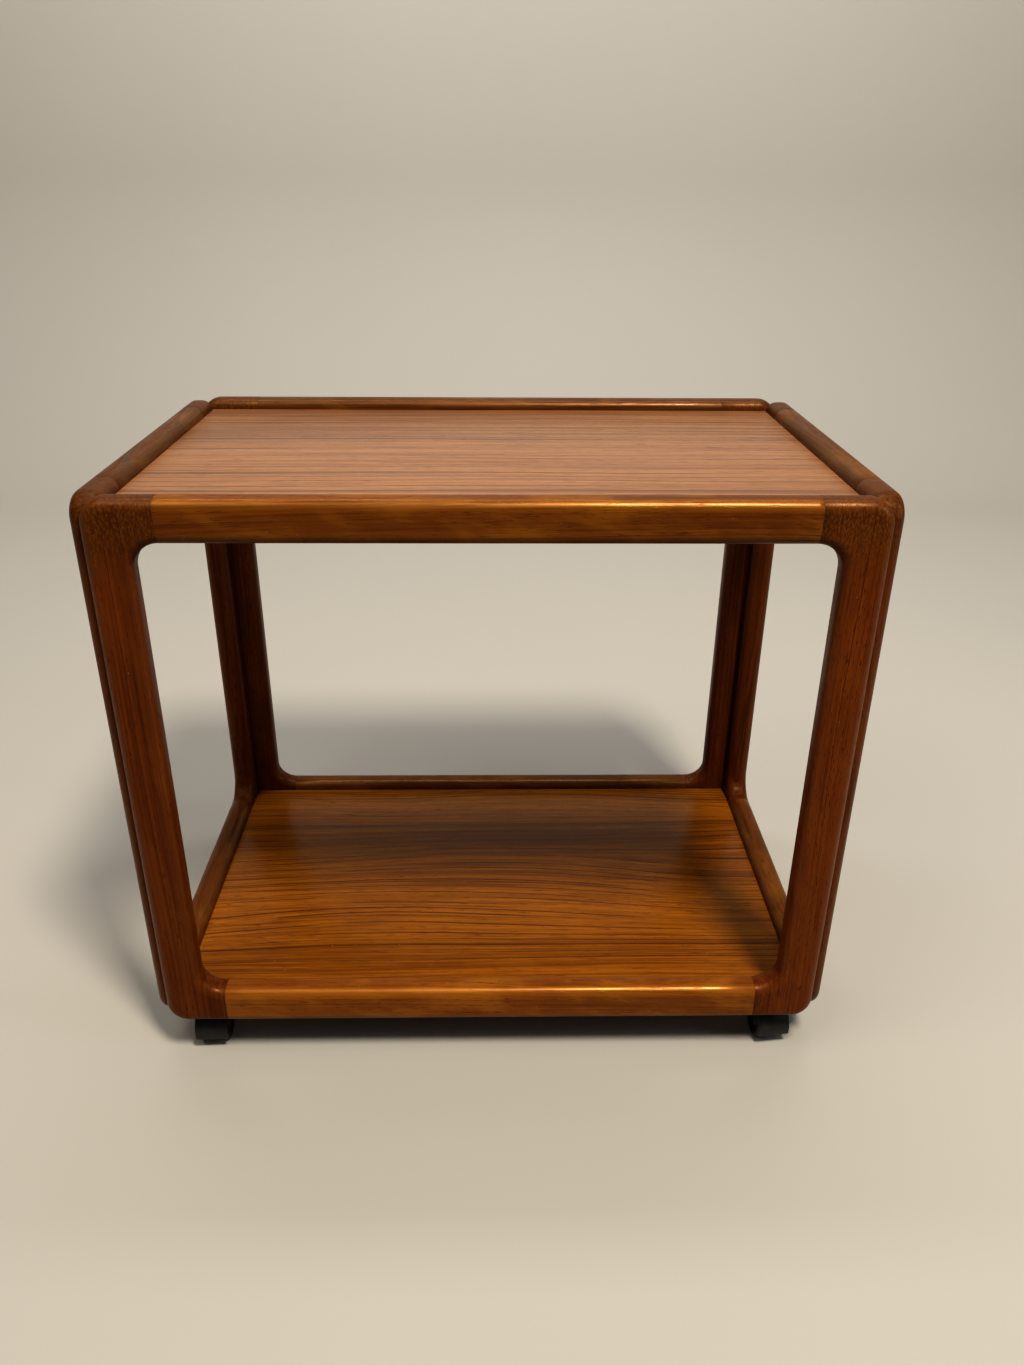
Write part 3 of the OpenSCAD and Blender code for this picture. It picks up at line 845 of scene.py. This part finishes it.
def web_mesh():
    """The flat web between the wheels, from the axle up to the hood."""
    reach = HOOD_R[0] + 0.0007
    turns = [math.radians(15 * k) for k in range(13)]
    outline = [(reach * math.cos(a) - trail, reach * math.sin(a) + wheel_r) for a in turns]
    outline.append((-trail, wheel_r - BOSS_R))
    flat = slab(outline, -WEB_T / 2, WEB_T / 2, 0.0003)
    turn = Matrix(((0, 0, 1, 0), (1, 0, 0, 0), (0, 1, 0, 0), (0, 0, 0, 1)))
    return moved(flat, turn)


def housing_mesh():
    """Hood, web, axle boss and swivel barrel, moulded in one, with both bores."""
    barrel = turned_filleted(
        [(0, wheel_r), (BARREL_R, wheel_r), (BARREL_R, BARREL_TOP), (0, BARREL_TOP)], [0, 0, 0.0006, 0]
    )
    wheel_space = rod(HOOD_R[1] - 0.0006, 0.040, (0, -trail, wheel_r), (1, 0, 0))
    boss = moved(turned_filleted(
        [(0, -BOSS_W / 2), (BOSS_R, -BOSS_W / 2), (BOSS_R, BOSS_W / 2), (0, BOSS_W / 2)],
        [0, 0.0005, 0.0005, 0],
    ), axle_place)
    mesh = combined(barrel, wheel_space)
    for part in (hood_mesh(), web_mesh(), boss):
        mesh = combined(mesh, part, "UNION")
    bores = [
        rod(AXLE_R, 0.05, (0, -trail, wheel_r), (1, 0, 0)),
        rod(BORE_R, 0.04, (0, 0, BORE_LOW + 0.02), (0, 0, 1)),
    ]
    return combined(mesh, joined(bores))


def axle_mesh():
    half = (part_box("front_left_castor_axle")[1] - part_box("front_left_castor_axle")[0]).x / 2
    half = round(half - AXLE_R * abs(first_axis.y), 4)
    chamfer = 0.0004
    profile = [
        (0, -half), (AXLE_R - chamfer, -half), (AXLE_R, -half + chamfer),
        (AXLE_R, half - chamfer), (AXLE_R - chamfer, half), (0, half),
    ]
    return moved(turned(profile), axle_place)


def bush_mesh():
    profile = [
        (BUSH_BORE_R, BUSH_LOW), (BORE_R, BUSH_LOW), (BORE_R, BARREL_TOP),
        (BUSH_FLANGE_R, BARREL_TOP), (BUSH_FLANGE_R, BUSH_TOP), (BUSH_BORE_R, BUSH_TOP),
    ]
    return turned(filleted(profile, [0.0002, 0.0004, 0, 0.0002, 0.0003, 0.0002], steps=3), closed=True)


def kingpin_mesh():
    top = plate_high.z
    profile = [
        (0, PIN_HEAD[0]), (PIN_HEAD_R, PIN_HEAD[0]), (PIN_HEAD_R, PIN_HEAD[1]), (PIN_R, PIN_HEAD[1]),
        (PIN_R, top), (0, top),
    ]
    return turned_filleted(profile, [0, 0.0011, 0.0002, 0, 0.0004, 0])


def plate_mesh():
    """The pressed mounting plate, in the castor's place but square to the table."""
    half = (plate_high.x - plate_low.x) / 2
    outline = filleted(rectangle(-half, -half, half, half), [PLATE_CORNER_R] * 4, steps=8)
    mesh = slab(outline, plate_low.z, plate_high.z, 0.0004)
    pitch = half - SCREW_EDGE
    holes = [(PLATE_HOLE_R, i * pitch, j * pitch) for i in (-1, 1) for j in (-1, 1)]
    holes.append((PIN_R, 0, 0))
    bores = [rod(r, 0.01, (x, y, plate_low.z), (0, 0, 1)) for r, x, y in holes]
    return combined(mesh, joined(bores))


def screw_mesh():
    """A pan-head wood screw, head down, with a cross recess, a threaded shank and a point."""
    low = plate_low.z - HEAD_T
    core = SCREW_R - 0.00045
    profile = [
        (0, low), (HEAD_R, low), (HEAD_R, plate_low.z), (core, plate_low.z),
        (core, SCREW_TIP - 0.003), (0, SCREW_TIP),
    ]
    mesh = turned_filleted(profile, [0, 0.0013, 0.0001, 0, 0, 0])
    slots = [bar((-0.0017, -0.0003, low - 0.001), (0.0017, 0.0003, low + 0.0011))]
    slots.append(moved(slots[0], Matrix.Rotation(math.pi / 2, 4, "Z")))
    for cutter in slots:
        mesh = combined(mesh, cutter)
    return joined([mesh, thread_mesh(core, plate_low.z + 0.0032, SCREW_TIP - 0.0025)])


def thread_mesh(core, low, high):
    """The ridge wound round a screw's shank."""
    pitch, steps = 0.0014, 20
    count = int((high - low) / pitch * steps)
    crest = SCREW_R - 0.00005
    bm = bmesh.new()
    rows = []
    for k in range(count + 1):
        angle = 2 * math.pi * k / steps
        z = low + pitch * k / steps
        taper = min(1, k / steps, (count - k) / steps)
        reach = core - 0.0001 + (crest - core + 0.0001) * taper
        out = Vector((math.cos(angle), math.sin(angle), 0))
        inner = core - 0.0001
        rows.append([
            bm.verts.new(out * inner + Vector((0, 0, z - 0.0004))),
            bm.verts.new(out * max(reach, inner + 0.00001) + Vector((0, 0, z))),
            bm.verts.new(out * inner + Vector((0, 0, z + 0.0004))),
        ])
    for a, b in zip(rows, rows[1:]):
        for i in range(3):
            bm.faces.new((a[i], a[(i + 1) % 3], b[(i + 1) % 3], b[i]))
    bm.faces.new(rows[0])
    bm.faces.new(rows[-1])
    return to_mesh(bm)


def add_castor_piece(corner, part, mesh, body, material):
    piece = new_piece(f"{corner}_{part}", mesh)
    piece.data.materials.clear()
    piece.data.materials.append(material)
    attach(piece, body)
    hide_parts(f"{corner}_castor_{part}")


def build_castors():
    steel, pale = zinc("zinc_plate"), nylon("natural_nylon")
    right_wheel = moved(wheel_mesh(), axle_place)
    left_wheel = moved(right_wheel, Matrix.Diagonal((-1, 1, 1, 1)))
    shapes = {
        "housing": housing_mesh(), "axle": axle_mesh(), "bush": bush_mesh(),
        "left_wheel": left_wheel, "right_wheel": right_wheel,
    }
    upright = {"plate": plate_mesh(), "kingpin": kingpin_mesh()}
    screw = screw_mesh()
    turn = random.Random(4)
    screws = []
    for number, corner in enumerate(CORNERS):
        place = castor_place(corner)
        hard = plastic(f"black_plastic_{corner}", (0.0060, 0.0058, 0.0052, 1.0), 0.10, number * 1.3)
        tyre = plastic(f"black_tread_{corner}", (0.0075, 0.0072, 0.0066, 1.0), 0.10, number * 1.3 + 0.5)
        finishes = {
            "housing": ("black_plastic", hard, f"{corner}_swivel"),
            "axle": ("zinc_steel", steel, f"{corner}_swivel"),
            "bush": ("nylon", pale, f"{corner}_swivel"),
            "left_wheel": ("black_tread", tyre, f"{corner}_left_wheel"),
            "right_wheel": ("black_tread", tyre, f"{corner}_right_wheel"),
        }
        for part, (slot, material, body) in finishes.items():
            add_castor_piece(corner, part, moved(shapes[part], place), body, material)
        square = Matrix.Translation(place.translation)
        for part, mesh in upright.items():
            add_castor_piece(corner, part, moved(mesh, square), "table", steel)
        for x, y in screw_places(f"{corner}_castor_plate"):
            spin = Matrix.Rotation(turn.uniform(0, math.pi), 4, "Z")
            screws.append(moved(screw, Matrix.Translation((x, y, 0)) @ spin))
    piece = new_piece("plate_screws", joined(screws))
    piece.data.materials.append(steel)
    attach(piece, "table")
    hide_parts("castor_screws")


# ---------- stage, light and camera ----------

def build_stage():
    """A pale floor that curves up into a backdrop behind the table."""
    half_w, front, bend_y, bend_r, top = 6.0, -6.0, 1.9, 0.9, 4.5
    profile = [(front, 0), (bend_y, 0)]
    for k in range(1, 25):
        angle = math.pi / 2 * k / 24
        profile.append((bend_y + bend_r * math.sin(angle), bend_r - bend_r * math.cos(angle)))
    profile.append((bend_y + bend_r, top))
    rings = [[(x, y, z) for x in (-half_w, 0, half_w)] for y, z in profile]
    bm = loft(rings, around=False, along=False)
    floor = new_piece("floor", to_mesh(bm))
    floor.data.materials.append(paper("pale_paper", (0.40, 0.38, 0.345, 1.0)))


def area_light(name, place, target, size, power, colour):
    data = bpy.data.lights.new(name, "AREA")
    data.shape = "RECTANGLE"
    data.size, data.size_y = size
    data.energy = power
    data.color = colour
    light = bpy.data.objects.new(name, data)
    bpy.context.scene.collection.objects.link(light)
    light.location = place
    light.rotation_mode = "QUATERNION"
    light.rotation_quaternion = (Vector(target) - Vector(place)).to_track_quat("-Z", "Y")
    light.visible_camera = False


def build_light():
    middle = (0, 0, 0.4)
    area_light("lamp_right", (0.82, -1.60, 3.7), middle, (0.55, 0.75), 150, (1.0, 0.91, 0.76))
    area_light("lamp_left", (-1.5, -1.10, 3.4), middle, (1.8, 1.4), 34, (1.0, 0.93, 0.84))
    area_light("window", (2.6, -1.0, 1.6), middle, (0.7, 1.2), 12, (0.82, 0.90, 1.0))
    area_light("backdrop_wash", (0, 0.9, 3.6), (0, 2.8, 1.4), (3.0, 0.8), 75, (1.0, 0.98, 0.96))
    world = bpy.data.worlds.new("studio")
    bpy.context.scene.world = world
    world.use_nodes = True
    background = world.node_tree.nodes["Background"]
    background.inputs["Color"].default_value = (0.80, 0.79, 0.77, 1.0)
    background.inputs["Strength"].default_value = 0.12


CAMERA_AT = (0.00268, -1.11404, 0.91088)
PITCH, YAW, ROLL = (math.radians(a) for a in (26.295, -1.158, 0.431))
LENS_MM = 27.404         # on a 36 mm long side


def build_camera():
    right = Vector((math.cos(YAW), math.sin(YAW), 0))
    ahead = Vector((-math.sin(YAW), math.cos(YAW), 0))
    forward = ahead * math.cos(PITCH) - Vector((0, 0, math.sin(PITCH)))
    up = right.cross(forward)
    across = right * math.cos(ROLL) + up * math.sin(ROLL)
    upright = up * math.cos(ROLL) - right * math.sin(ROLL)
    data = bpy.data.cameras.new("camera")
    data.sensor_width = 36
    data.lens = LENS_MM
    data.clip_start, data.clip_end = 0.05, 50
    camera = bpy.data.objects.new("camera", data)
    bpy.context.scene.collection.objects.link(camera)
    turn = Matrix((across, upright, -forward)).transposed().to_4x4()
    camera.matrix_world = Matrix.Translation(CAMERA_AT) @ turn
    bpy.context.scene.camera = camera


build_camera()
build_stage()
build_light()
bpy.context.scene.view_settings.view_transform = "Standard"
bpy.context.scene.view_settings.look = "Medium High Contrast"

build_frames()
build_panel("tray_panel", "tray", "tray", 3)
build_panel("shelf_panel", "shelf", "shelf", 8)
beech = wood("beech_block", "beech", 0, 1, 91)
for corner_name in CORNERS:
    build_block(corner_name, beech)
build_castors()
for dowels in ("rail_dowels", "corner_dowels"):
    frame["nodes"][dowels].data.materials[0] = beech
